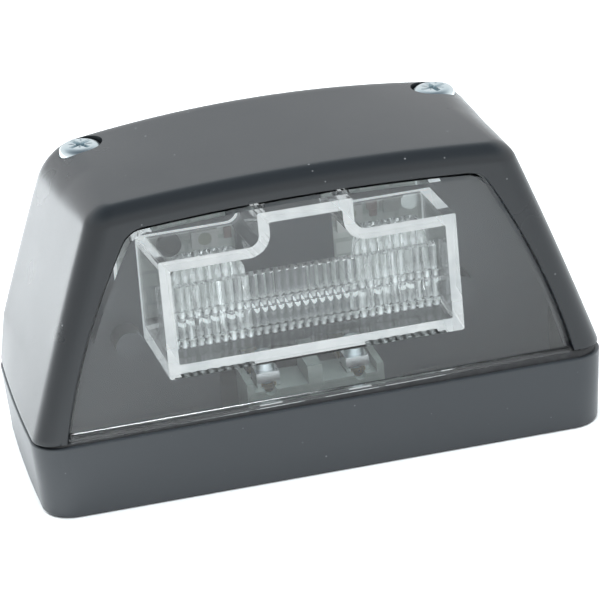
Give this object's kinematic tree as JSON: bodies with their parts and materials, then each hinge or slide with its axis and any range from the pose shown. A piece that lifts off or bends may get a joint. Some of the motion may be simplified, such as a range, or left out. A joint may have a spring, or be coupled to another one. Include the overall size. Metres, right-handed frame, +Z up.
{
  "type": "number plate lamp",
  "caption": "Hooded black number plate lamp with a clear front lens, a stepped light box with a fluted optic behind it, and two cover screws in the top.",
  "frame": {"origin": "centre of the box's underside, on the mounting face of the base", "axes": "X runs along the width, to the right when the lens is looked at; Y runs from the lens face to the back; Z is up from the mounting face"},
  "size_m": [0.1, 0.045, 0.0546],
  "materials": {
    "base_plastic": "black moulded plastic with a fine satin grain",
    "hood_plastic": "black moulded plastic, smooth satin with a soft sheen",
    "shield_plastic": "black moulded plastic",
    "clear_lens": "clear polished acrylic with frosted wall ends",
    "clear_optic": "clear polished acrylic with moulded flutes",
    "board_laminate": "pale grey-green laminate",
    "led_white": "white moulded package",
    "led_phosphor": "matt phosphor filling",
    "dark_ceramic": "dark moulded body",
    "brown_ceramic": "brown ceramic body",
    "pale_ceramic": "pale moulded body",
    "capacitor_can": "drawn can",
    "solder": "bright solder",
    "zinc_screws": "blue zinc plating",
    "brass_parts": "turned and stamped brass",
    "plated_clamps": "bright nickel plating",
    "natural_nylon": "natural nylon, slightly milky",
    "black_rubber": "soft black rubber"
  },
  "bodies": {
    "root": {"base_housing": "base_plastic", "mounting_sleeves": "brass_parts", "cable_grommet": "black_rubber", "base_seal": "black_rubber", "hood": "hood_plastic", "lens": "clear_lens", "fluted_optic": "clear_optic", "light_shield": "shield_plastic", "circuit_board": "board_laminate", "led_left": "led_white", "led_right": "led_white", "led_chips": "led_phosphor", "choke_coil": "dark_ceramic", "resistors": "brown_ceramic", "rectifier_diode": "pale_ceramic", "driver_chip": "dark_ceramic", "smoothing_capacitor": "capacitor_can", "solder_pads": "solder", "board_screws": "zinc_screws", "contact_blades": "brass_parts", "terminal_block": "natural_nylon", "terminal_clamps": "plated_clamps", "terminal_screws": "zinc_screws", "threaded_insert_left": "brass_parts", "threaded_insert_right": "brass_parts", "screw_washer_left": "black_rubber", "screw_washer_right": "black_rubber", "cover_screw_left": "zinc_screws", "cover_screw_right": "zinc_screws"}
  },
  "joints": []
}
